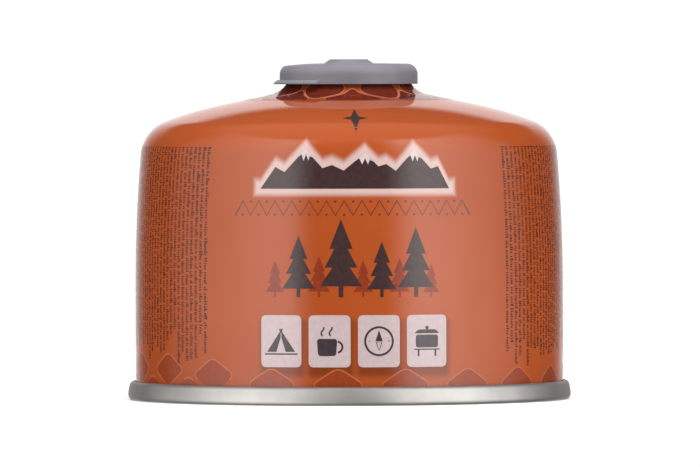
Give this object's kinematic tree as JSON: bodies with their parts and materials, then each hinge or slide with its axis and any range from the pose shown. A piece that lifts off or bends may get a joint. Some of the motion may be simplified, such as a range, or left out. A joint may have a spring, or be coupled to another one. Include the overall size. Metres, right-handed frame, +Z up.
{
  "type": "screw-valve gas canister",
  "caption": "Squat domed steel gas canister with a seamed base, a threaded centre valve in a crimped cup, and a push-on plastic cap with a pull tab.",
  "frame": {"origin": "centre of the ring that the canister stands on", "axes": "+Z up along the can's axis, -Y to the front, with the cap's pull tab at the front left"},
  "size_m": [0.11, 0.11, 0.0844],
  "materials": {
    "orange_lacquer": "gloss orange lacquer over steel",
    "bare_steel": "satin bare steel",
    "plated_steel": "bright pressed steel",
    "black_rubber": "matte",
    "white_plastic": "moulded",
    "grey_plastic": "fine matte grain"
  },
  "bodies": {
    "canister": {"can_body": "orange_lacquer", "bottom_end": "bare_steel", "valve_cup": "plated_steel", "cup_gasket": "black_rubber", "stem_gasket": "black_rubber", "valve_spring": "plated_steel", "valve_housing": "white_plastic"},
    "cap": {"cap": "grey_plastic"},
    "plunger": {"valve_plunger": "white_plastic"}
  },
  "joints": [
    {"name": "cap_lift", "type": "slide", "parent": "canister", "child": "cap", "axis": [0, 0, 1], "range_m": [0, 0.015]},
    {"name": "valve_press", "type": "slide", "parent": "canister", "child": "plunger", "axis": [0, 0, 1], "range_m": [-0.002, 0], "stiffness_N_per_m": 1000, "deforming": ["valve_spring"]}
  ]
}
